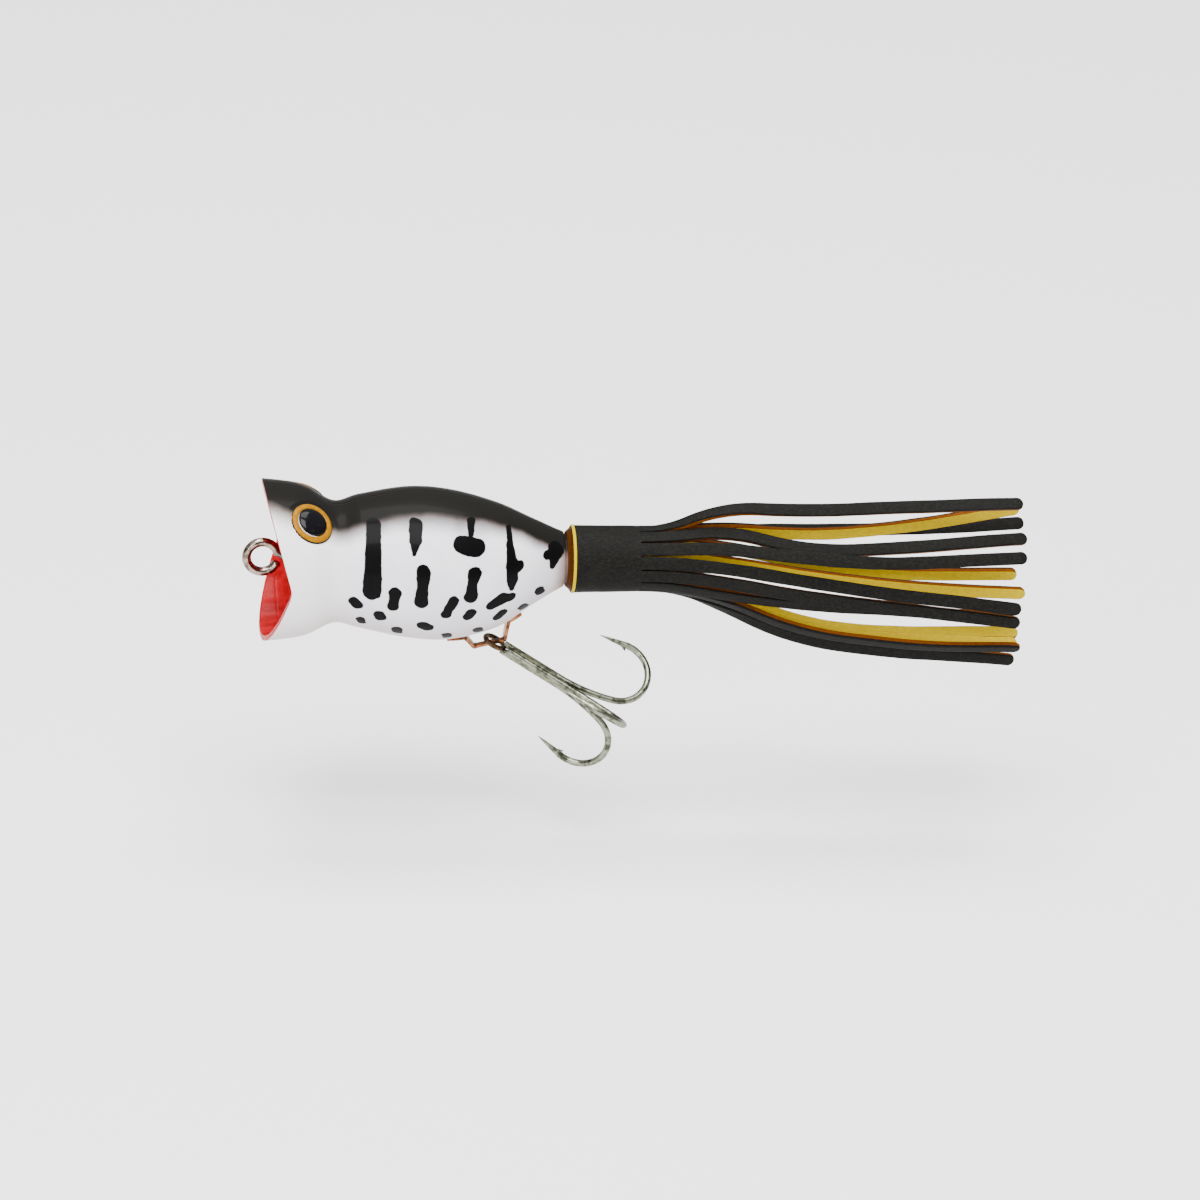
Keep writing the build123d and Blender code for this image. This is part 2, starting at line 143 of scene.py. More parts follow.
# Strands: lean towards (y, z), angles of the bends, length, and how far the face twists towards the tip
STRANDS = [
    ((0.0, 1.0), (24.0, -27.0, 5.5, -1.0), 64.5, 46),
    ((-0.76, -0.65), (-8.0, 25.0, -19.0, -3.0), 65.0, 16),
    ((-0.97, -0.26), (-1.5, 15.0, -9.0, -8.5), 64.5, 10),
    ((-0.31, -0.95), (5.0, 5.0, -2.0, -1.0), 64.0, 4),
    ((-0.22, -0.97), (6.5, 4.5, -4.0, 0.0), 64.0, -4),
    ((-0.06, -1.0), (10.5, -2.5, -4.5, 0.0), 63.0, -8),
    ((-0.1, -0.99), (10.5, 13.5, -15.5, -6.5), 65.5, -18),
    ((-0.04, -1.0), (19.0, 6.5, -17.0, -4.5), 65.5, -72),
    ((0.0, -1.0), (19.0, 5.0, -17.0, -4.5), 66.0, 16),
    ((0.21, -0.98), (20.0, 11.5, -23.0, -7.5), 67.5, 6),
    ((-0.09, -1.0), (7.5, 2.5, -2.5, -4.0), 66.0, 8),
    ((0.46, -0.89), (7.0, 9.5, -4.0, -12.5), 65.5, -6),
    ((1.0, -0.03), (3.0, -1.5, -0.5, 7.0), 65.5, 105),
    ((0.29, 0.96), (1.5, -8.0, 12.0, 3.0), 64.0, -62),
]

STRAND_OVERLAP = 0.35  # how far a strand's root reaches into the collar
STRAND_TIP_LENGTH = 1.1
STRAND_GAP = 0.20  # between neighbours at the slits
STRAND_EDGE_RADIUS = 0.14

# Treble hook, drawn along +X from its ring and swung into place
RING_CENTRE = (39.5, 0.0, -15.40)
HOOK_TURNS = (-20.5, 27.5, -17.5)
HOOK_RING_RADIUS = 1.75
HOOK_RING_TURN = 18.0
HOOK_RING_WIRE = 0.45
HOOK_WIRE = 0.575
SHANK_OFFSET = 0.70
SHANK_END = 12.1
HOOK_BENDS = [(9.95, 19.0), (15.6, 172.0), (0.9, 0.0)]
POINT_LENGTH = 4.0
TAPER_LENGTH = 5.0
BARB_ROOT = 4.0  # both ends of the barb, measured back from the point's tip
BARB_END = 4.95
BARB_LIFT = 1.05
DOUBLE_HOOK_START = 1.55
SINGLE_HOOK_START = 2.6
BRAZE_START = 2.75
BRAZE_LENGTH = 9.6
BRAZE_RADIUS = 1.03

# Belly hanger, seen from the side
STRAP_PATH = [
    (31.35, -14.34),
    (34.3, -14.02),
    (36.0, -16.10),
    (41.1, -14.90),
    (41.6, -11.10),
    (43.6, -9.81),
]
# Half widths of the strap along x: round feet, and a waist where the hook's ring rides
STRAP_HALF_WIDTHS = [
    (31.0, 1.3),
    (31.5, 1.65),
    (33.0, 1.8),
    (34.4, 1.75),
    (35.2, 1.15),
    (36.8, 0.6),
    (40.9, 0.6),
    (41.2, 1.0),
    (41.7, 1.7),
    (42.6, 1.8),
    (43.4, 1.6),
    (43.9, 1.2),
]
STRAP_CORNER_RADIUS = 0.5
STRAP_EDGE_RADIUS = 0.14
STRAP_THICKNESS = 0.6


# ------------------------------------------------------------------ camera, floor and light


def aim(obj, location, target):
    """Put an object at a place, looking at a target."""
    obj.location = location
    obj.rotation_mode = "QUATERNION"
    obj.rotation_quaternion = (Vector(target) - Vector(location)).to_track_quat("-Z", "Y")


def make_camera():
    """Long lens, a little to the front of the lure and above it, rolled so that the lure lies level."""
    side, rise, roll = (math.radians(a) for a in (CAMERA_SIDE, CAMERA_RISE, CAMERA_ROLL))
    forward = Vector((math.sin(side) * math.cos(rise), math.cos(side) * math.cos(rise), -math.sin(rise)))
    right = Vector((math.cos(side), -math.sin(side), 0))
    up = right.cross(forward)
    rolled_right = right * math.cos(roll) - up * math.sin(roll)
    rolled_up = right * math.sin(roll) + up * math.cos(roll)
    target = rolled_right * -TIE_FROM_MIDDLE[0] - rolled_up * TIE_FROM_MIDDLE[1]
    data = bpy.data.cameras.new("camera")
    data.lens = CAMERA_LENS
    data.sensor_width = 36.0
    data.clip_start, data.clip_end = 0.05, 20.0
    camera = bpy.data.objects.new("camera", data)
    bpy.context.scene.collection.objects.link(camera)
    turn = Matrix((rolled_right, rolled_up, -forward)).transposed().to_4x4()
    camera.matrix_world = Matrix.Translation(target - forward * CAMERA_DISTANCE) @ turn
    bpy.context.scene.camera = camera


def area_light(name, location, size, power):
    data = bpy.data.lights.new(name, "AREA")
    data.shape = "RECTANGLE"
    data.size, data.size_y = size
    data.energy = power
    lamp = bpy.data.objects.new(name, data)
    bpy.context.scene.collection.objects.link(lamp)
    aim(lamp, location, LAMP_TARGET)


def make_studio():
    """White surroundings, brighter overhead than at the horizon, and the lamps."""
    world = bpy.data.worlds.new("studio")
    world.use_nodes = True
    tree = world.node_tree
    place = tree.nodes.new("ShaderNodeTexCoord").outputs["Generated"]
    height = tree.nodes.new("ShaderNodeSeparateXYZ")
    tree.links.new(place, height.inputs[0])
    strength = tree.nodes.new("ShaderNodeMapRange")
    for socket, value in zip(strength.inputs[1:5], SKY_RAMP):
        socket.default_value = value
    tree.links.new(height.outputs["Z"], strength.inputs[0])
    tree.links.new(strength.outputs[0], tree.nodes["Background"].inputs["Strength"])
    tree.nodes["Background"].inputs["Color"].default_value = (1, 1, 1, 1)
    bpy.context.scene.world = world
    for lamp in LAMPS:
        area_light(*lamp)


def make_floor():
    floor_mesh = bpy.data.meshes.new("floor")
    floor_z = cad_low.z - FLOOR_DROP
    corners = [(x * FLOOR_REACH, y * FLOOR_REACH, floor_z) for x, y in ((-1, -1), (1, -1), (1, 1), (-1, 1))]
    floor_mesh.from_pydata(corners, [], [(0, 1, 2, 3)])
    floor = bpy.data.objects.new("floor", floor_mesh)
    bpy.context.scene.collection.objects.link(floor)
    paint = bpy.data.materials.new("floor")
    paint.use_nodes = True
    shader = paint.node_tree.nodes["Principled BSDF"]
    shader.inputs["Base Color"].default_value = (0.93, 0.93, 0.93, 1)
    shader.inputs["Roughness"].default_value = 0.9
    shader.inputs["Specular IOR Level"].default_value = 0.0
    floor_mesh.materials.append(paint)


# ------------------------------------------------------------------ shader building


class Graph:
    """A material's node tree, with short calls for the nodes that are used here."""

    def __init__(self, name):
        self.material = bpy.data.materials.new(name)
        self.material.use_nodes = True
        self.tree = self.material.node_tree
        self.shader = self.tree.nodes["Principled BSDF"]
        place = self.tree.nodes.new("ShaderNodeTexCoord").outputs["Object"]
        self.mm = self.vector("SCALE", place, scale=1 / MM)

    def node(self, kind, **settings):
        made = self.tree.nodes.new(kind)
        for key, value in settings.items():
            setattr(made, key, value)
        return made

    def plug(self, socket, value):
        if isinstance(value, bpy.types.NodeSocket):
            self.tree.links.new(value, socket)
        elif socket.type == "RGBA" and len(value) == 3:
            socket.default_value = (*value, 1)
        else:
            socket.default_value = value

    def math(self, operation, *values):
        made = self.node("ShaderNodeMath", operation=operation)
        for socket, value in zip(made.inputs, values):
            self.plug(socket, value)
        return made.outputs[0]

    def vector(self, operation, *values, scale=None):
        made = self.node("ShaderNodeVectorMath", operation=operation)
        for socket, value in zip(made.inputs, values):
            self.plug(socket, value)
        if scale is not None:
            self.plug(made.inputs["Scale"], scale)
        return made.outputs["Value" if operation in ("LENGTH", "DOT_PRODUCT", "DISTANCE") else "Vector"]

    def split(self, vector):
        made = self.node("ShaderNodeSeparateXYZ")
        self.plug(made.inputs[0], vector)
        return made.outputs[0], made.outputs[1], made.outputs[2]

    def join(self, x, y, z):
        made = self.node("ShaderNodeCombineXYZ")
        for socket, value in zip(made.inputs, (x, y, z)):
            self.plug(socket, value)
        return made.outputs[0]

    def noise(self, size, detail=3.0, vector=None, roughness=0.5, colour=False):
        """Noise whose features are about size mm across."""
        made = self.node("ShaderNodeTexNoise")
        self.plug(made.inputs["Vector"], vector or self.mm)
        made.inputs["Scale"].default_value = 1 / size
        made.inputs["Detail"].default_value = detail
        made.inputs["Roughness"].default_value = roughness
        return made.outputs["Color" if colour else "Fac"]

    def ramp(self, value, low, high, start=0.0, end=1.0):
        """Smooth step from start to end as value goes from low to high."""
        made = self.node("ShaderNodeMapRange", interpolation_type="SMOOTHSTEP")
        for socket, number in zip(made.inputs, (value, low, high, start, end)):
            self.plug(socket, number)
        return made.outputs[0]

    def curve(self, value, points, span):
        """A smooth function of value through (place, height) points, heights from 0 to span."""
        low, high = points[0][0], points[-1][0]
        spread = self.node("ShaderNodeMapRange")
        for socket, number in zip(spread.inputs, (value, low, high, 0.0, 1.0)):
            self.plug(socket, number)
        made = self.node("ShaderNodeValToRGB")
        stops = made.color_ramp
        stops.interpolation = "EASE"
        while len(stops.elements) < len(points):
            stops.elements.new(0.5)
        for stop, (place, height) in zip(stops.elements, points):
            stop.position = (place - low) / (high - low)
            stop.color = (height / span, height / span, height / span, 1)
        self.plug(made.inputs[0], spread.outputs[0])
        return self.math("MULTIPLY", made.outputs[0], span)

    def mix(self, amount, first, second):
        made = self.node("ShaderNodeMix", data_type="RGBA")
        self.plug(made.inputs["Factor"], amount)
        self.plug(made.inputs[6], first)
        self.plug(made.inputs[7], second)
        return made.outputs[2]

    def bump(self, height, depth, below=None):
        """Bump of about depth mm."""
        made = self.node("ShaderNodeBump")
        made.inputs["Strength"].default_value = 1.0
        made.inputs["Distance"].default_value = depth * MM
        self.plug(made.inputs["Height"], height)
        if below is not None:
            self.plug(made.inputs["Normal"], below)
        return made.outputs[0]

    def finish(self, **sockets):
        for key, value in sockets.items():
            self.plug(self.shader.inputs[key.replace("_", " ")], value)
        return self.material


def skin_at(x):
    """Centre height and radius of the skin at x, on a smooth curve through the stations."""
    index = max(i for i, station in enumerate(SKIN[:-1]) if station[0] <= x or i == 0)
    x0, x1 = SKIN[index][0], SKIN[index + 1][0]
    t = (x - x0) / (x1 - x0)

    def slope(i, value):
        before, after = SKIN[max(i - 1, 0)], SKIN[min(i + 1, len(SKIN) - 1)]
        return (after[value] - before[value]) / (after[0] - before[0])

    result = []
    for value in (1, 2):
        y0, y1 = SKIN[index][value], SKIN[index + 1][value]
        m0, m1 = slope(index, value) * (x1 - x0), slope(index + 1, value) * (x1 - x0)
        curve = (2 * t**3 - 3 * t**2 + 1) * y0 + (t**3 - 2 * t**2 + t) * m0
        curve += (3 * t**2 - 2 * t**3) * y1 + (t**3 - t**2) * m1
        result.append(curve)
    return result


# Spots on each side, as chains of (x mm, degrees above the side line, radius mm)
SPOTS = [
    [(17.7, 53, 1.20), (17.4, 26, 1.35), (17.3, -6, 1.58)],
    [(24.6, 52, 1.12), (24.4, 38, 1.08), (24.1, 27, 0.35)],
    [(34.0, 59, 0.75), (33.8, 46, 0.50)],
    [(32.4, 37, 1.65), (34.6, 35, 1.68)],
    [(40.4, 58, 0.45), (40.5, 40, 0.58), (40.8, 20, 1.05), (40.9, 4, 1.0), (40.9, -4, 0.50)],
    [(41.3, 16, 0.95), (42.0, 17, 1.00)],
    [(48.3, 45, 1.05), (48.6, 34, 1.35), (48.0, 12, 0.55)],
    [(47.1, 30, 0.85), (48.4, 34, 0.90)],
    [(21.1, -5, 1.10), (21.0, -10, 0.85), (20.9, -17, 1.05)],
    [(25.7, 14, 1.25), (25.6, 2, 0.95), (25.5, -10, 1.22)],
    [(34.3, 14, 1.22), (34.0, 5, 0.85), (33.8, -5, 1.22)],
    [(30.9, -8, 1.00), (30.3, -14, 0.80), (29.8, -20, 0.95)],
    [(14.5, -19, 0.95), (15.1, -22, 0.95)],
    [(18.8, -29, 1.00), (19.1, -32, 1.00)],
    [(15.9, -41, 0.78), (16.2, -46, 0.72)],
    [(22.0, -45, 0.95), (22.2, -51, 0.85)],
    [(26.2, -34, 1.12), (26.9, -36, 1.12)],
    [(33.6, -24, 0.95), (34.0, -21, 0.95)],
    [(37.4, -17, 0.95), (39.2, -13, 1.18), (40.8, -14, 0.85)],
    [(38.8, -35, 0.92), (39.5, -31, 0.92)],
    [(30.4, -48, 0.90), (30.6, -53, 0.80)],
    [(35.6, -47, 0.90), (36.0, -53, 0.80)],
    [(43.1, -40, 0.90), (43.5, -45, 0.85)],
    [(45.9, -25, 0.90), (46.1, -29, 0.85)],
]
# Lower edge of the black back, in degrees above the side line, along x
BACK_EDGE = [
    (0, 66),
    (4, 60),
    (8, 58),
    (12, 51),
    (16, 55),
    (22, 60),
    (35, 61),
    (42, 60),
    (46, 52),
    (50, 41),
    (52, 35),
]
PEARL = (0.80, 0.79, 0.84)
BLUE_PEARL = (0.72, 0.72, 0.80)
HEAD_WHITE = (0.86, 0.83, 0.83)
# pink blush on the belly, kept far darker than the pearl as painted shade on the underside
BELLY_SHADE_AND_BLUSH = (0.36, 0.28, 0.285)
BROWN = (0.055, 0.036, 0.028)
BACK_BLACK = (0.0075, 0.007, 0.006)
# painted shade: tan darkening towards the tail, and dark brown where the body's shoulder meets the skirt's
# collar
TAIL_SHADE_TAN = (0.42, 0.31, 0.27)
SHOULDER_SHADE_BROWN = (0.11, 0.05, 0.03)
SPOT_BLACK = (0.002, 0.002, 0.002)
CUP_RED = (0.46, 0.001, 0.008)
CUP_DARK_RED = (0.30, 0.001, 0.004)
EYE_GOLD = (0.29, 0.13, 0.0)
EYE_DARK_GOLD = (0.22, 0.08, 0.0)


def capsule_group():
    """Node group: signed distance in mm from a tapered capsule between two points."""
    tree = bpy.data.node_groups.new("capsule", "ShaderNodeTree")
    for name in ("Point", "Start", "End"):
        tree.interface.new_socket(name, in_out="INPUT", socket_type="NodeSocketVector")
    for name in ("Near", "Far"):
        tree.interface.new_socket(name, in_out="INPUT", socket_type="NodeSocketFloat")
    tree.interface.new_socket("Distance", in_out="OUTPUT", socket_type="NodeSocketFloat")
    given = tree.nodes.new("NodeGroupInput")
    result = tree.nodes.new("NodeGroupOutput")

    def vector(operation, a, b):
        made = tree.nodes.new("ShaderNodeVectorMath")
        made.operation = operation
        tree.links.new(a, made.inputs[0])
        if b is not None:
            tree.links.new(b, made.inputs[3 if operation == "SCALE" else 1])
        return made.outputs["Value" if operation in ("LENGTH", "DOT_PRODUCT") else "Vector"]

    from_start = vector("SUBTRACT", given.outputs["Point"], given.outputs["Start"])
    span = vector("SUBTRACT", given.outputs["End"], given.outputs["Start"])
    share = tree.nodes.new("ShaderNodeMath")
    share.operation = "DIVIDE"
    share.use_clamp = True
    tree.links.new(vector("DOT_PRODUCT", from_start, span), share.inputs[0])
    tree.links.new(vector("DOT_PRODUCT", span, span), share.inputs[1])
    away = vector("LENGTH", vector("SUBTRACT", from_start, vector("SCALE", span, share.outputs[0])), None)
    radius = tree.nodes.new("ShaderNodeMapRange")
    tree.links.new(share.outputs[0], radius.inputs[0])
    tree.links.new(given.outputs["Near"], radius.inputs[3])
    tree.links.new(given.outputs["Far"], radius.inputs[4])
    distance = tree.nodes.new("ShaderNodeMath")
    distance.operation = "SUBTRACT"
    tree.links.new(away, distance.inputs[0])
    tree.links.new(radius.outputs[0], distance.inputs[1])
    tree.links.new(distance.outputs[0], result.inputs[0])
    return tree


def lure_paint():
    """Sprayed paint: pearl sides with black spots, a pink blush on the belly with painted shade darkening
    it, black back, and painted shade in tan and brown towards the tail.
    """
    g = Graph("lure_paint")
    x, y, z = g.split(g.mm)
    side = g.math("ABSOLUTE", y)
    swell = g.math("DIVIDE", g.math("SUBTRACT", x, 34.0), 11.0)
    bell = g.math("POWER", 2.718, g.math("MULTIPLY", g.math("MULTIPLY", swell, swell), -1.0))
    sag = g.math("MULTIPLY", bell, 0.95)
    height = g.math("ADD", g.math("ADD", z, -AXIS_Z), sag)
    square = g.math("ADD", g.math("MULTIPLY", side, side), g.math("MULTIPLY", height, height))
    radius = g.math("SQRT", square)
    angle = g.math("ARCTAN2", height, side)
    around = g.math("MULTIPLY", angle, radius)
    degrees = g.math("MULTIPLY", angle, 180 / math.pi)

    # spots, in a flat map of the side: x along the body and arc length round it
    jitter = g.vector("SUBTRACT", g.noise(1.3, 2.0, colour=True), (0.5, 0.5, 0.5))
    flat = g.vector("ADD", g.join(x, around, 0.0), g.vector("SCALE", jitter, scale=0.45))
    flat = g.vector("MULTIPLY", flat, (1, 1, 0))
    tree = capsule_group()
    nearest = None
    for chain in SPOTS:
        for (x0, a0, r0), (x1, a1, r1) in zip(chain, chain[1:]):
            spot = g.node("ShaderNodeGroup", node_tree=tree)
            start = (x0, math.radians(a0) * skin_at(x0)[1], 0)
            end = (x1, math.radians(a1) * skin_at(x1)[1], 0)
            for socket, value in zip(spot.inputs, (flat, start, end, r0, r1)):
                g.plug(socket, value)
            if nearest is None:
                nearest = spot.outputs[0]
            else:
                nearest = g.math("SMOOTH_MIN", nearest, spot.outputs[0], 0.35)
    spots = g.ramp(nearest, -0.07, 0.09, 1.0, 0.0)

    # back, with a soft sprayed edge
    cloud = g.math("MULTIPLY", g.math("SUBTRACT", g.noise(5.0, 4.0), 0.5), 9.0)
    over = g.math("ADD", g.math("SUBTRACT", degrees, g.curve(x, BACK_EDGE, 90.0)), cloud)
    fade = g.ramp(over, -22.0, 0.0)
    back = g.ramp(over, -5.0, 3.0)
    # where the painted shade towards the tail begins and ends
    tail = g.ramp(x, 42.0, 50.4)

    belly = g.ramp(degrees, -10.0, -60.0)
    pearl = g.mix(g.ramp(g.noise(7.0, 2.0), 0.35, 0.7), PEARL, BLUE_PEARL)
    pearl = g.mix(g.ramp(x, 11.0, 14.5), HEAD_WHITE, pearl)
    # painted shade and pink blush: the pearl darkens towards the belly
    pearl = g.mix(g.math("MULTIPLY", belly, 0.7), pearl, BELLY_SHADE_AND_BLUSH)
    # painted shade: tan towards the tail, then dark brown at the shoulder by the collar
    pearl = g.mix(g.math("MULTIPLY", tail, 0.5), pearl, TAIL_SHADE_TAN)
    pearl = g.mix(g.math("MULTIPLY", g.ramp(x, 47.6, 50.6), 0.85), pearl, SHOULDER_SHADE_BROWN)
    colour = g.mix(g.math("MULTIPLY", fade, 0.95), pearl, BROWN)
    colour = g.mix(back, colour, BACK_BLACK)
    colour = g.mix(spots, colour, SPOT_BLACK)

    speck = g.noise(0.25, 2.0)
    rough = g.math("ADD", 0.34, g.math("MULTIPLY", speck, 0.12))
    orange_peel = g.bump(g.noise(0.9, 2.0), 0.010)
    return g.finish(Base_Color=colour, Roughness=rough, Normal=orange_peel, Coat_Weight=0.03,
                    Coat_Roughness=0.10, Specular_IOR_Level=0.03)


def cup_paint():
    """Wet-looking red inside the mouth, with brush-out marks running from the rim to the floor."""
    g = Graph("cup_red")
    streaks = g.noise(1.4, 3.0, vector=g.vector("MULTIPLY", g.mm, (0.3, 1, 1)))
    colour = g.mix(g.ramp(streaks, 0.35, 0.7), CUP_RED, CUP_DARK_RED)
    rough = g.math("ADD", 0.26, g.math("MULTIPLY", streaks, 0.12))
    return g.finish(Base_Color=colour, Roughness=rough, Normal=g.bump(streaks, 0.03), Coat_Weight=0.06,
                    Coat_Roughness=0.10, Specular_IOR_Level=0.05)


def rubber(name, base, worn, roughness, sheen):
    """Matt moulded rubber: fine mottling, dust and a slightly uneven skin."""
    g = Graph(name)
    stretch = g.vector("MULTIPLY", g.mm, (0.6, 1, 1))
    mottle = g.noise(0.30, 4.0, vector=stretch)
    colour = g.mix(g.ramp(mottle, 0.35, 0.75), base, worn)
    colour = g.mix(g.math("MULTIPLY", g.ramp(g.noise(4.0, 2.0), 0.5, 0.8), 0.35), colour, worn)
    rough = g.math("ADD", roughness, g.math("MULTIPLY", mottle, 0.18))
    grain = g.bump(g.noise(0.22, 3.0, vector=stretch), 0.02)
    skin = g.bump(g.noise(1.6, 2.0), 0.05, below=grain)
    return g.finish(Base_Color=colour, Roughness=rough, Normal=skin, Specular_IOR_Level=sheen)


def metal(name, base, dark, roughness, scratch_size, tarnish):
    """Plated or drawn metal: fine draw lines, tarnish in patches."""
    g = Graph(name)
    lines = g.noise(scratch_size, 4.0)
    patches = g.ramp(g.noise(1.3, 5.0, roughness=0.6), 0.42, 0.62)
    colour = g.mix(g.math("MULTIPLY", patches, tarnish), base, dark)
    rough = g.math("ADD", roughness, g.math("MULTIPLY", lines, 0.22))
    fine = g.bump(lines, 0.008)
    return g.finish(Base_Color=colour, Roughness=rough, Normal=fine, Metallic=1.0)


def eye_ring_paint():
    g = Graph("eye_ring")
    cells = g.noise(0.5, 3.0)
    colour = g.mix(g.ramp(cells, 0.35, 0.7), EYE_GOLD, EYE_DARK_GOLD)
    return g.finish(Base_Color=colour, Roughness=g.math("ADD", 0.22, g.math("MULTIPLY", cells, 0.1)),
                    Normal=g.bump(cells, 0.01), Coat_Weight=0.03, Coat_Roughness=0.1,
                    Specular_IOR_Level=0.05)


def eye_pupil_paint():
    g = Graph("eye_pupil")
    depth = g.noise(1.4, 3.0)
    colour = g.mix(g.ramp(depth, 0.55, 0.8), (0.002, 0.002, 0.003), (0.008, 0.007, 0.004))
    return g.finish(Base_Color=colour, Roughness=g.math("ADD", 0.08, g.math("MULTIPLY", depth, 0.08)),
                    Coat_Weight=0.08, Coat_Roughness=0.03, Specular_IOR_Level=0.08)


# ------------------------------------------------------------------ mesh building


def make_object(name, verts, faces, materials, face_slots=None, smooth_angle=40):
    """Mesh object from mm coordinates, smooth shaded, with sharp edges above smooth_angle."""
    mesh = bpy.data.meshes.new(name)
    mesh.from_pydata([(x * MM, y * MM, z * MM) for x, y, z in verts], [], faces)
    for paint in materials:
        mesh.materials.append(paint)
    if face_slots:
        mesh.polygons.foreach_set("material_index", face_slots)
    form = bmesh.new()
    form.from_mesh(mesh)
    bmesh.ops.remove_doubles(form, verts=form.verts, dist=1e-7)
    bmesh.ops.recalc_face_normals(form, faces=form.faces)
    for face in form.faces:
        face.smooth = True
    for edge in form.edges:
        if len(edge.link_faces) == 2 and edge.calc_face_angle(0) > math.radians(smooth_angle):
            edge.smooth = False
    form.to_mesh(mesh)
    form.free()
    obj = bpy.data.objects.new(name, mesh)
    bpy.context.scene.collection.objects.link(obj)
    return obj


def grid_faces(rows, columns, wrap=False):
    """Quads over a grid of points stored row by row."""
    faces = []
    for i in range(rows - 1):
        for j in range(columns if wrap else columns - 1):
            k = (j + 1) % columns
            faces.append((i * columns + j, i * columns + k, (i + 1) * columns + k, (i + 1) * columns + j))
    return faces


def swept(points, sections, closed=False):
    """Rings of section points placed along a path, each (across, up) pair in the path's own frame."""
    verts = []
    for (place, across, up), section in zip(points, sections):
        for a, b in section:
            verts.append(place + across * a + up * b)
    count = len(sections[0])
    faces = grid_faces(len(sections), count, wrap=True)
    if closed:
        last = (len(sections) - 1) * count
        faces += [(last + j, last + (j + 1) % count, (j + 1) % count, j) for j in range(count)]
    else:
        faces.append(tuple(reversed(range(count))))
        faces.append(tuple(range((len(sections) - 1) * count, len(sections) * count)))
    return verts, faces


def path_frames(points, first_up):
    """Each point with two directions square to the path, carried along without twist."""
    frames = []
    up = Vector(first_up)
    for i, point in enumerate(points):
        along = (points[min(i + 1, len(points) - 1)] - points[max(i - 1, 0)]).normalized()
        up = (up - along * up.dot(along)).normalized()
        frames.append((point, along.cross(up), up))
    return frames


def circle(radius, count):
    turns = [2 * math.pi * i / count for i in range(count)]
    return [(radius * math.cos(turn), radius * math.sin(turn)) for turn in turns]


def bent_path(start, along, up, steps, spacing):
    """Points every spacing mm along arcs and straight runs in one plane, with the direction at each."""
    point, along, up = Vector(start), Vector(along).normalized(), Vector(up).normalized()
    result = [(point.copy(), along.copy(), up.copy())]
    for length, angle in steps:
        pieces = max(2, round(length / spacing))
        turn = math.radians(angle) / pieces
        for _ in range(pieces):
            middle = along * math.cos(turn / 2) + up * math.sin(turn / 2)
            chord = length / pieces * (math.sin(turn / 2) / (turn / 2) if turn else 1)
            point = point + middle * chord
            ahead = along * math.cos(turn) + up * math.sin(turn)
            up = up * math.cos(turn) - along * math.sin(turn)
            along = ahead
            result.append((point.copy(), along.copy(), up.copy()))
    return result


# ------------------------------------------------------------------ body


def rim_x(z):
    """Where the mouth's V-shaped rim lies at a height."""
    lip = UPPER_LIP if z > MOUTH_CORNER[1] else LOWER_LIP
    share = (z - MOUTH_CORNER[1]) / (lip[1] - MOUTH_CORNER[1])
    blunt = 0.12 * math.exp(-((z - MOUTH_CORNER[1]) / 0.6) ** 2)
    return MOUTH_CORNER[0] + (lip[0] - MOUTH_CORNER[0]) * share - blunt


def cup_radius(x):
    """Radius of the mouth cup: a slight taper from the rim, then a rounded floor."""
    if x < CUP_SHOULDER_X:
        return CUP_SHOULDER_RADIUS + (CUP_SHOULDER_X - x) * CUP_TAPER
    share = min(1.0, (x - CUP_SHOULDER_X) / (CUP_FLOOR_X - CUP_SHOULDER_X))
    return CUP_SHOULDER_RADIUS * math.sqrt(1 - share * share)


def eye_axis(side):
    """Centre of the eye on the skin, and its outward direction."""
    lean, tilt = math.radians(EYE_ELEVATION), math.radians(EYE_TILT)
    z, r = skin_at(EYE_X)
    out = Vector((0, side * math.cos(lean), math.sin(lean)))
    return Vector((EYE_X, 0, z)) + out * r, out * math.cos(tilt) + Vector((math.sin(tilt), 0, 0))


def peg_profile():
    """Outline (x, radius) of the ribbed tail peg, from its end to the body's shoulder."""
    profile = [(PEG_END_X, 3.6), (PEG_END_X - 0.2, 3.9), (PEG_END_X - 0.5, PEG_RADIUS)]
    for rib in reversed(PEG_RIB_XS):
        profile += [(rib + 0.6, PEG_RADIUS), (rib + 0.45, PEG_RIB_RADIUS)]
        profile += [(rib + 0.05, PEG_RIB_RADIUS), (rib - 0.1, PEG_RADIUS)]
    profile += [(SHOULDER_X + 0.05, PEG_RADIUS), (SHOULDER_X, PEG_RADIUS + 0.1), (SHOULDER_X, 4.40)]
    return profile


def skin_point(x, out, from_top, eye_middle, eye_out):
    """Point of the painted skin, sunk a little along the seam and in a groove round the eye."""
    z, r = skin_at(x)
    near_seam = min(from_top, 180 - from_top) * math.pi / 180 * r
    r -= SEAM_DEPTH * math.exp(-((near_seam / SEAM_WIDTH) ** 2))
    point = Vector((x, 0, z)) + out * r
    gap = point - eye_middle
    if gap.length < EYE_GROOVE_REACH:
        off_axis = (gap - eye_out * gap.dot(eye_out)).length
        off_rim = (off_axis - EYE_RADIUS - 0.1) / EYE_GROOVE_WIDTH
        point -= out * EYE_GROOVE_DEPTH * math.exp(-(off_rim**2))
    return point


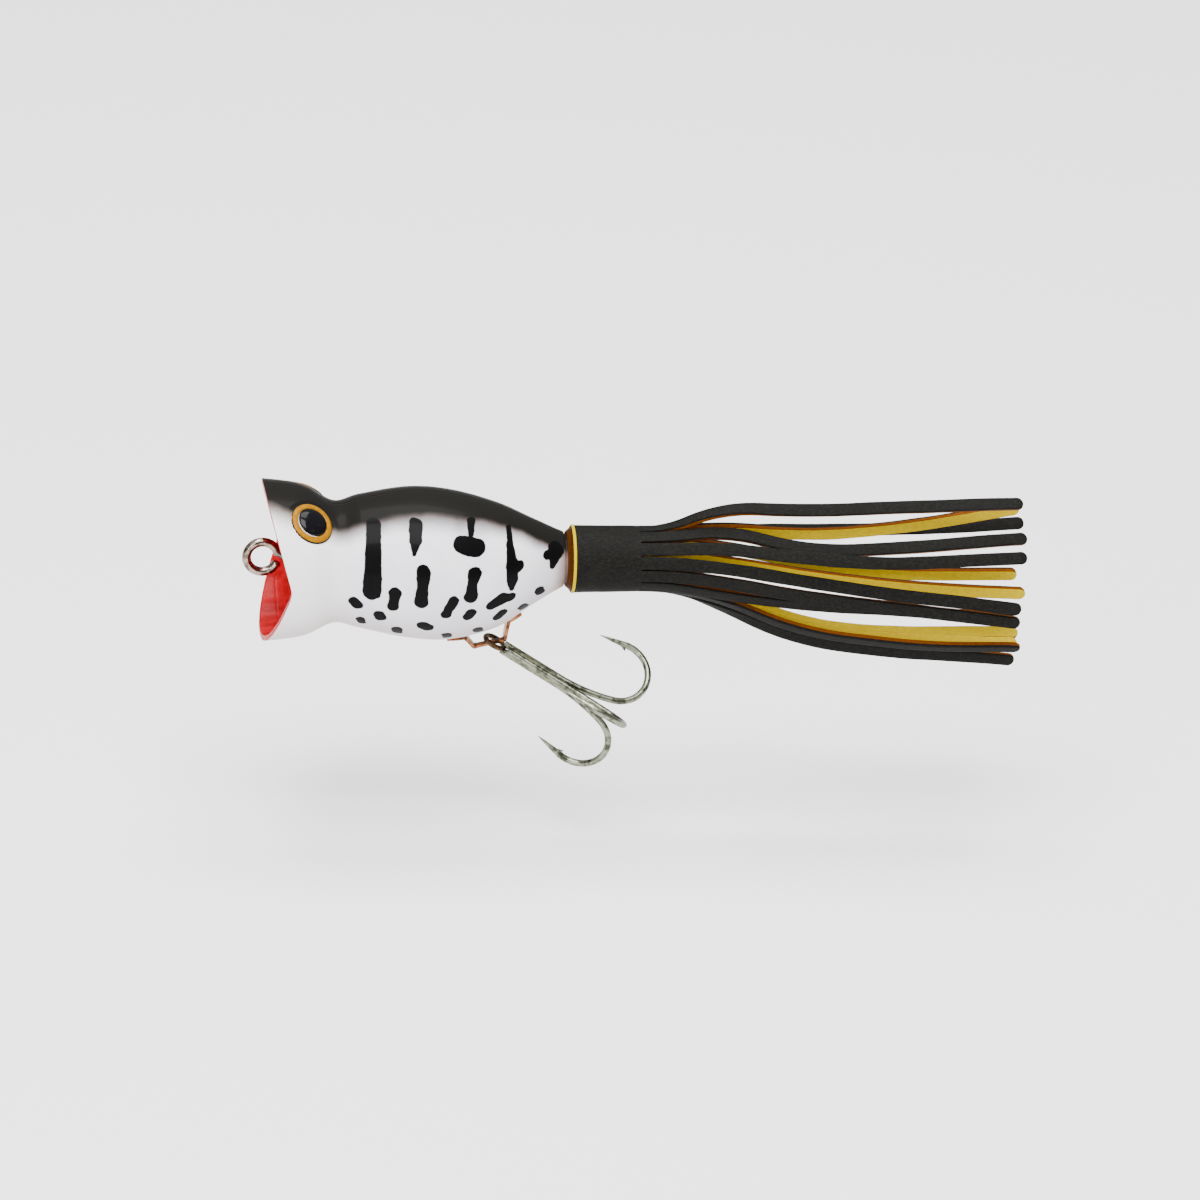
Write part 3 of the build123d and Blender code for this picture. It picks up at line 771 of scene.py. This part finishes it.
def body_half(side, paint, red):
    """One body half as a closed shell: tail peg, skin, lip, cup, and the flat joint face."""
    seam = [0.0, 0.07, 0.14, 0.24, 0.4]
    seam_angles = [math.degrees(s / 12.5) for s in seam]
    steps = 170
    inner = [seam_angles[-1] + (180 - 2 * seam_angles[-1]) * i / steps for i in range(steps + 1)]
    angles = seam_angles[:-1] + inner + [180 - a for a in reversed(seam_angles[:-1])]
    eye_middle, eye_out = eye_axis(side)
    columns = []
    for from_top in angles:
        psi = math.radians(90 - from_top)
        out = Vector((0, side * math.cos(psi), math.sin(psi)))
        column = [Vector((PEG_END_X, 0, AXIS_Z)), Vector((PEG_END_X, 0, AXIS_Z)) + out * 2.0]
        column += [Vector((x, 0, AXIS_Z)) + out * r for x, r in peg_profile()]
        front = rim_x(AXIS_Z + MOUTH_RADIUS * math.sin(psi))
        rows = 200
        for i in range(rows + 1):
            share = i / rows
            x = SHOULDER_X - 0.12 + (front + 0.04 - SHOULDER_X + 0.12) * (0.15 * share**3 + 0.85 * share)
            column.append(skin_point(x, out, from_top, eye_middle, eye_out))
        skin_points = len(column)
        outer, inner_radius = skin_at(front)[1], cup_radius(front)
        for share, depth in ((0.08, 0.02), (0.3, 0.0), (0.6, 0.0), (0.85, 0.03), (0.97, 0.10)):
            lip_radius = outer + (inner_radius - outer) * share
            column.append(Vector((front + depth, 0, AXIS_Z)) + out * lip_radius)
        depth_start = front + 0.2
        for i in range(64):
            share = math.sin(math.pi / 2 * i / 63)
            x = depth_start + (CUP_FLOOR_X - depth_start) * share
            column.append(Vector((x, 0, AXIS_Z)) + out * cup_radius(x))
        columns.append(column)
    verts = [point for column in columns for point in column]
    length = len(columns[0])
    faces = grid_faces(len(columns), length)
    slots = [1 if i % (length - 1) >= skin_points - 1 else 0 for i in range(len(faces))]
    name = "body_left_shell" if side == LEFT else "body_right_shell"
    obj = make_object(name + "_skin", verts, faces, [paint, red], slots, smooth_angle=50)
    form = bmesh.new()
    form.from_mesh(obj.data)
    rim = [edge for edge in form.edges if len(edge.link_faces) == 1]
    bmesh.ops.triangle_fill(form, edges=rim, use_beauty=True)
    for face in form.faces:
        if len(face.verts) == 3 and abs(face.normal.y) > 0.999:
            face.smooth = False
    bmesh.ops.recalc_face_normals(form, faces=form.faces)
    form.to_mesh(obj.data)
    form.free()
    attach(obj, "lure_body")
    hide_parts(name)


def eye(side, ring_paint, pupil_paint, edge_paint):
    """Domed eye: sunk plug with a dark side wall, rounded ring, glossy pupil dome."""
    profile = [(0.001, EYE_PLUG_BOTTOM), (EYE_RADIUS, EYE_PLUG_BOTTOM)]
    profile += [(EYE_RADIUS, -0.45), (EYE_RADIUS - 0.10, -0.33)]
    wall_end = len(profile)
    for i in range(1, 12):
        share = i / 12
        r = EYE_RADIUS - 0.08 - (EYE_RADIUS - 0.08 - PUPIL_RADIUS) * share
        height = 0.30 * math.sin(math.pi / 2 * share) + 0.14 * math.sin(math.pi * share)
        profile.append((r, height - 0.3))
    profile += [(PUPIL_RADIUS + 0.04, -0.04), (PUPIL_RADIUS, -0.06), (PUPIL_RADIUS - 0.04, 0.02)]
    ring_end = len(profile)
    for i in range(1, 15):
        lean = math.pi / 2 * i / 14
        r = max(0.001, (PUPIL_RADIUS - 0.04) * math.cos(lean))
        profile.append((r, 0.02 + PUPIL_DOME_HEIGHT * math.sin(lean)))
    middle, out = eye_axis(side)
    middle += out * EYE_SINK
    turn = out.to_track_quat("Z", "Y").to_matrix()
    verts, count = [], 96
    for r, h in profile:
        for j in range(count):
            a = 2 * math.pi * j / count
            verts.append(middle + turn @ Vector((r * math.cos(a), r * math.sin(a), h)))
    faces = grid_faces(len(profile), count, wrap=True)
    slots = []
    for i in range(len(faces)):
        row = i // count
        slots.append(2 if row < wall_end else 0 if row < ring_end - 2 else 1)
    name = "eye_left" if side == LEFT else "eye_right"
    paints = [ring_paint, pupil_paint, edge_paint]
    obj = make_object(name + "_dome", verts, faces, paints, slots, smooth_angle=50)
    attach(obj, "lure_body")
    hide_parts(name)


# ------------------------------------------------------------------ wire and metal fittings


def tube(name, points, radii, paint, count):
    """Round wire through points, with its radius at each."""
    verts, faces = swept(path_frames(points, (0, 1, 0)), [circle(r, count) for r in radii])
    return make_object(name, verts, faces, [paint], smooth_angle=60)


def line_tie(paint):
    """Screw eye bent from one wire: straight shank, a neck bend, and the ring closing on the shank."""
    points = [Vector((x, 0, 0)) for x in (17.0, 15.0, 12.0, 9.0, 7.0, 5.6, 4.6)]
    radii = [0.35] + [TIE_SHANK_WIRE] * 6
    neck = [(4.0, 0.06), (3.55, 0.28), (3.15, 0.62)]
    points += [Vector((x, 0, z)) for x, z in neck]
    radii += [TIE_WIRE] * 3
    for i in range(0, 78):
        a = math.radians(20 + i * 4.15)
        points.append(Vector((TIE_RING_RADIUS * math.cos(a), 0, TIE_RING_RADIUS * math.sin(a))))
        radii.append(TIE_WIRE)
    radii[-1] = TIE_WIRE * 0.8
    obj = tube("line_tie_wire", points, radii, paint, count=28)
    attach(obj, "lure_body")
    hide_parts("line_tie_screw_eye")


def hook_direction(angle):
    """Which way a hook points from the shank, by its angle about the shank."""
    return Vector((0, -math.cos(math.radians(angle)), math.sin(math.radians(angle))))


def hook_placing():
    """The move that carries the treble, drawn along +X, to where it hangs."""
    roll, swing, yaw = (math.radians(a) for a in HOOK_TURNS)
    turn = Matrix.Rotation(yaw, 3, "Z") @ Matrix.Rotation(swing, 3, "Y") @ Matrix.Rotation(roll, 3, "X")
    return lambda point: turn @ Vector(point) + Vector(RING_CENTRE)


def hook_wire(angle, start):
    """Verts and faces of one hook: shank, bend, ground point and lifted barb."""
    out = hook_direction(angle)
    foot = Vector((start, 0, 0)) + out * SHANK_OFFSET
    steps = [(SHANK_END - start, 0.0)] + HOOK_BENDS + [(POINT_LENGTH, 0.0)]
    path = bent_path(foot, (1, 0, 0), out, steps, 0.28)
    across = Vector((1, 0, 0)).cross(out)
    tip = path[-1][0]
    frames, sections = [], []
    for point, along, up in path:
        left = (tip - point).length
        taper = 0.04
        if point is not tip:
            taper = min(1.0, 0.06 + 0.94 * (left / TAPER_LENGTH) ** 0.8)
        frames.append((point, across, up))
        sections.append(circle(HOOK_WIRE * taper, 18))
    verts, faces = swept(frames, sections)
    # barb: a sliver cut from the wire's inner side and lifted away from the point
    point, along, up = path[-1]
    root = point - along * BARB_ROOT
    lifted = point - along * BARB_END + up * BARB_LIFT
    base = len(verts)
    stations = ((root, 0.24, 0.30), (root.lerp(lifted, 0.55), 0.20, 0.20), (lifted, 0.05, 0.04))
    for place, wide, thick in stations:
        for a, b in ((-1, -1), (1, -1), (1, 1), (-1, 1)):
            verts.append(place + across * wide * a + (up * 0.8 + along * 0.6) * thick * b)
    for i in range(2):
        for j in range(4):
            k = (j + 1) % 4
            faces.append((base + 4 * i + j, base + 4 * i + k, base + 4 * i + 4 + k, base + 4 * i + 4 + j))
    faces.append((base + 3, base + 2, base + 1, base))
    faces.append((base + 8, base + 9, base + 10, base + 11))
    return verts, faces


def joined(*parts):
    """Several meshes' verts and faces as one."""
    verts, faces = [], []
    for more_verts, more_faces in parts:
        start = len(verts)
        verts += more_verts
        faces += [tuple(start + i for i in face) for face in more_faces]
    return verts, faces


def treble(steel, oxide, braze_paint):
    """Double hook bent from one wire with its ring, single hook, and the braze between them."""
    place = hook_placing()
    ring_turn = Matrix.Rotation(math.radians(HOOK_RING_TURN), 3, "X")
    ring_path = []
    for i in range(72):
        a = 2 * math.pi * i / 72
        out = ring_turn @ Vector((math.cos(a), math.sin(a), 0))
        ring_path.append((out * HOOK_RING_RADIUS, ring_turn @ Vector((0, 0, 1)), out))
    ring = swept(ring_path, [circle(HOOK_RING_WIRE, 18)] * 72, closed=True)
    arms = [hook_wire(angle, DOUBLE_HOOK_START) for angle in (120, -120)]
    verts, faces = joined(ring, *arms)
    slots = [1 if max(face) < len(ring[0]) else 0 for face in faces]
    placed = [place(v) for v in verts]
    double = make_object("treble_double_wire", placed, faces, [steel, oxide], slots, smooth_angle=55)
    verts, faces = hook_wire(0, SINGLE_HOOK_START)
    placed = [place(v) for v in verts]
    single = make_object("treble_single_wire", placed, faces, [steel], smooth_angle=55)

    # braze: runs in the grooves between the shanks, uneven where it was fed in
    path = [Vector((BRAZE_START + BRAZE_LENGTH * i / 60, 0, 0)) for i in range(61)]
    frames = path_frames(path, (0, 0, 1))
    sections = []
    for i, point in enumerate(path):
        ends = min(1.0, i / 6 + 0.45, (60 - i) / 8 + 0.35)
        section = []
        for j in range(36):
            a = 2 * math.pi * j / 36
            lump = 0.07 * noise.noise(Vector((point.x * 0.9, 2 * math.cos(a), 2 * math.sin(a))))
            r = BRAZE_RADIUS * ends + lump
            section.append((r * math.cos(a), r * math.sin(a)))
        sections.append(section)
    verts, faces = swept(frames, sections)
    placed = [place(v) for v in verts]
    fillet = make_object("treble_braze_run", placed, faces, [braze_paint], smooth_angle=60)
    for obj, slot, node in ((double, "hook_steel", "treble_double_hook"),
                            (single, "hook_steel", "treble_single_hook"),
                            (fillet, "braze", "treble_braze")):
        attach(obj, "treble")
        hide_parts(node)


def rounded_corner_path(corners, radius, spacing):
    """Side-view points (x, z) along a polyline with its corners rounded."""
    points = [Vector((x, 0, z)) for x, z in corners]
    result = [points[0]]
    for before, corner, after in zip(points, points[1:], points[2:]):
        back, ahead = (before - corner).normalized(), (after - corner).normalized()
        reach = radius / math.tan(back.angle(ahead) / 2)
        start, end = corner + back * reach, corner + ahead * reach
        for i in range(9):
            t = i / 8
            result.append(start * (1 - t) ** 2 + corner * 2 * t * (1 - t) + end * t**2)
    result.append(points[-1])
    dense = [result[0]]
    for point in result[1:]:
        pieces = max(1, round((point - dense[-1]).length / spacing))
        last = dense[-1]
        dense += [last.lerp(point, (i + 1) / pieces) for i in range(pieces)]
    return dense


def strap_half_width(x):
    """Half the strap's width at x, smoothly between the stations."""
    for (x0, w0), (x1, w1) in zip(STRAP_HALF_WIDTHS, STRAP_HALF_WIDTHS[1:]):
        if x0 <= x <= x1:
            t = (x - x0) / (x1 - x0)
            return w0 + (w1 - w0) * t * t * (3 - 2 * t)
    return STRAP_HALF_WIDTHS[-1][1]


def hanger(copper):
    """Bent strap with rolled edges, and the strap's copper on the CAD screws."""
    path = rounded_corner_path(STRAP_PATH, STRAP_CORNER_RADIUS, 0.16)
    across = Vector((0, 1, 0))
    frames, sections = [], []
    for i, point in enumerate(path):
        along = (path[min(i + 1, len(path) - 1)] - path[max(i - 1, 0)]).normalized()
        frames.append((point, across, along.cross(across)))
        wide, thick, edge = strap_half_width(point.x), STRAP_THICKNESS / 2, STRAP_EDGE_RADIUS
        corners = [(wide - edge, thick - edge, 0), (-wide + edge, thick - edge, 90),
                   (-wide + edge, -thick + edge, 180), (wide - edge, -thick + edge, 270)]
        section = []
        for a, b, turn in corners:
            for j in range(4):
                lean = math.radians(turn + 30 * j)
                section.append((a + edge * math.cos(lean), b + edge * math.sin(lean)))
        sections.append(section)
    verts, faces = swept(frames, sections)
    obj = make_object("belly_hanger_strap", verts, faces, [copper], smooth_angle=50)
    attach(obj, "lure_body")
    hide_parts("belly_hanger")
    for name in ("hanger_screw_front", "hanger_screw_rear"):
        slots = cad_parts[name].material_slots
        for slot in slots:
            slot.link = "OBJECT"
            slot.material = copper


# ------------------------------------------------------------------ skirt


def turned(name, profile, paint, count=128, wobble=0.0):
    """Closed ring about the body's axis from an (x, radius) outline."""
    verts = []
    for x, r in profile:
        for j in range(count):
            a = 2 * math.pi * j / count
            bumpy = r + wobble * noise.noise(Vector((x * 0.25, 1.6 * math.cos(a), 1.6 * math.sin(a))))
            verts.append(Vector((x, bumpy * math.cos(a), AXIS_Z + bumpy * math.sin(a))))
    faces = grid_faces(len(profile), count, wrap=True)
    last = (len(profile) - 1) * count
    faces += [(last + j, last + (j + 1) % count, (j + 1) % count, j) for j in range(count)]
    return make_object(name, verts, faces, [paint], smooth_angle=50)


def collar(black, yellow, flare_shade):
    """Black sleeve over a yellow lining, whose front edge rolls out over it; the flare is painted dark
    brown as shade.
    """
    lip_end = SKIRT_START_X + 0.55
    length = SLIT_X - lip_end
    outer = [(lip_end, SKIRT_MIDDLE), (lip_end, SKIRT_FRONT_RADIUS - 0.12)]
    outer.append((lip_end + 0.10, SKIRT_FRONT_RADIUS))
    for i in range(1, 25):
        radius = SKIRT_FRONT_RADIUS + (SKIRT_RADIUS - SKIRT_FRONT_RADIUS) * i / 24
        outer.append((lip_end + length * i / 24, radius))
    outer.append((SLIT_X, SKIRT_MIDDLE))
    sleeve = turned("skirt_collar_outer_skin", outer, black, wobble=0.05)
    rim = (SKIRT_START_X + 0.28, SKIRT_LIP_RADIUS - 0.26)
    inner = [(SKIRT_FLARE_X, SKIRT_BORE), (SKIRT_FLARE_X, SKIRT_BORE + 0.25)]
    for i in range(1, 6):
        share = i / 6
        hollow = 0.12 * math.sin(math.pi * share)
        inner.append((SKIRT_FLARE_X + 0.85 * share + hollow, SKIRT_BORE + 0.25 + 0.95 * share))
    for i in range(9):
        lean = math.radians(205 - 22 * i)
        inner.append((rim[0] + 0.28 * math.cos(lean), rim[1] + 0.26 * math.sin(lean)))
    inner += [(lip_end + 0.02, SKIRT_MIDDLE), (SLIT_X, SKIRT_MIDDLE), (SLIT_X, SKIRT_BORE)]
    lining = turned("skirt_collar_inner_lining", inner, yellow)
    # the lining's flared front takes the dark brown of painted shade
    lining.data.materials.append(flare_shade)
    for face in lining.data.polygons:
        if face.center.x < (SKIRT_START_X + 0.02) * MM:
            face.material_index = 1
    for obj, slot, node in ((sleeve, "black_rubber", "skirt_collar_outer"),
                            (lining, "yellow_rubber", "skirt_collar_inner")):
        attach(obj, "skirt")
        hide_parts(node)


def strand_section(half_angle):
    """Ring-sector outline as (across, up, slot); slot 0 is black, 1 yellow and 2 the cut edge, painted
    darker orange as shade.
    """
    middle = (SKIRT_BORE + SKIRT_RADIUS) / 2
    high, low = SKIRT_RADIUS, SKIRT_BORE
    near, far = 0.04, STRAND_EDGE_RADIUS
    outline = []

    def on(radius, share, slot):
        angle = half_angle * share
        outline.append((radius * math.sin(angle), radius * math.cos(angle) - middle, slot))

    for i in range(7):
        on(high, 0.85 * (1 - i / 3), 0)
    on(high - near, -0.95, 0)
    on(high - far, -1.0, 0)
    on(SKIRT_MIDDLE, -1.0, 0)
    on(SKIRT_MIDDLE - 0.001, -1.0, 2)
    on(low + far, -1.0, 2)
    on(low + near, -0.94, 1)
    for i in range(7):
        on(low, -0.85 * (1 - i / 3), 1)
    on(low + near, 0.94, 1)
    on(low + far, 1.0, 2)
    on(SKIRT_MIDDLE - 0.001, 1.0, 2)
    on(SKIRT_MIDDLE, 1.0, 0)
    on(high - far, 1.0, 0)
    on(high - near, 0.95, 0)
    return outline


def strand(index, black, yellow, edge_shade):
    """One strand: black outside, yellow inside, with a lazy twist and wandering edges."""
    lean, angles, length, twist = STRANDS[index]
    rng = random.Random(400 + index)
    turn = 2 * math.pi * index / len(STRANDS)
    radial = Vector((0, -math.sin(turn), math.cos(turn)))
    middle = (SKIRT_BORE + SKIRT_RADIUS) / 2
    root = Vector((SLIT_X - STRAND_OVERLAP, 0, AXIS_Z)) + radial * middle
    straight_start = STRAND_OVERLAP + 0.3
    rest = length - sum(STRAND_BENDS) - STRAND_TIP_LENGTH
    steps = [(straight_start, 0.0)] + list(zip(STRAND_BENDS, angles)) + [(rest, 0.0)]
    path = [(*place, 1.0) for place in bent_path(root, (1, 0, 0), (0, *lean), steps, 0.6)]
    end, along, up = path[-1][:3]
    for i in range(1, 10):
        lean_in = math.pi / 2 * i / 9
        place = end + along * STRAND_TIP_LENGTH * math.sin(lean_in)
        path.append((place, along, up, max(0.08, math.cos(lean_in))))
    half_angle = math.pi / len(STRANDS) - STRAND_GAP / 2 / middle
    outline = strand_section(half_angle)
    offset = [rng.uniform(0, 50) for _ in range(3)]
    total = length + straight_start
    frames, sections, travelled = [], [], 0.0
    before = path[0][0]
    for point, along, up, pinch in path:
        travelled += (point - before).length
        before = point
        share = travelled / total
        eased = min(1.0, share / 0.45)
        spin = math.radians(twist) * eased * eased * (3 - 2 * eased)
        spin += math.radians(7) * share * noise.noise(Vector((travelled / 18, offset[0], 0)))
        face = (radial - along * radial.dot(along)).normalized()
        face = Matrix.Rotation(spin, 3, along) @ face
        across = face.cross(along) * -1
        sway = [noise.noise(Vector((travelled / 16, start, 3))) for start in offset[1:]]
        place = point + Vector((0, *sway)) * 0.30 * share
        wide = 1 + 0.05 * noise.noise(Vector((travelled / 5, offset[0], 9))) * min(1, share * 6)
        flatten = 0.7 * min(1.0, share / 0.25)
        tucked = 0.985 if travelled < STRAND_OVERLAP else 1.0
        section = []
        for a, b, _ in outline:
            bow = middle * (1 - math.cos(a / middle))
            thick = (b + bow * flatten) * (0.3 + 0.7 * pinch)
            section.append((a * wide * pinch * tucked, thick * tucked))
        frames.append((place, across, face))
        sections.append(section)
    verts, faces = swept(frames, sections)
    count = len(outline)
    slots = []
    for face in faces:
        j = face[0] % count
        slots.append(max(outline[j][2], outline[(j + 1) % count][2]) if len(face) == 4 else 2)
    number = f"{index + 1:02d}"
    # the cut edges and tip caps take the darker orange of painted shade
    paints = [black, yellow, edge_shade]
    obj = make_object(f"strand_{number}_ribbon", verts, faces, paints, slots, smooth_angle=60)
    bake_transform(obj)
    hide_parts(f"strand_{number}")


make_camera()
make_studio()
make_floor()
paint, red = lure_paint(), cup_paint()
nickel = metal("bright_nickel", (0.32, 0.27, 0.22), (0.04, 0.022, 0.015), 0.10, 0.12, 0.75)
copper = metal("copper_flash", (0.32, 0.12, 0.05), (0.04, 0.015, 0.008), 0.24, 0.10, 0.9)
steel = metal("tinned_steel", (0.24, 0.25, 0.185), (0.02, 0.02, 0.012), 0.20, 0.08, 0.85)
oxide = metal("brown_oxide", (0.12, 0.07, 0.035), (0.02, 0.012, 0.006), 0.30, 0.08, 0.8)
braze_paint = metal("dull_braze", (0.24, 0.25, 0.16), (0.05, 0.05, 0.03), 0.34, 0.15, 0.8)
black = rubber("black_rubber", (0.0045, 0.0045, 0.004), (0.011, 0.0105, 0.009), 0.55, 0.05)
yellow = rubber("yellow_rubber", (0.49, 0.36, 0.0), (0.42, 0.28, 0.0), 0.45, 0.04)
# darker orange copy of the yellow rubber: painted shade for the strands' cut edges
edge_shade = rubber("yellow_edge_painted_shade", (0.15, 0.04, 0.0), (0.10, 0.025, 0.0), 0.45, 0.04)
# dark brown copy of the yellow rubber: painted shade for the lining's flare
flare_shade = rubber("yellow_flare_painted_shade", (0.05, 0.014, 0.001), (0.03, 0.008, 0.001), 0.45, 0.04)
ring_paint, pupil_paint = eye_ring_paint(), eye_pupil_paint()

for side in (LEFT, RIGHT):
    body_half(side, paint, red)
    eye(side, ring_paint, pupil_paint, black)
line_tie(nickel)
hanger(copper)
treble(steel, oxide, braze_paint)
collar(black, yellow, flare_shade)
for index in range(len(STRANDS)):
    strand(index, black, yellow, edge_shade)
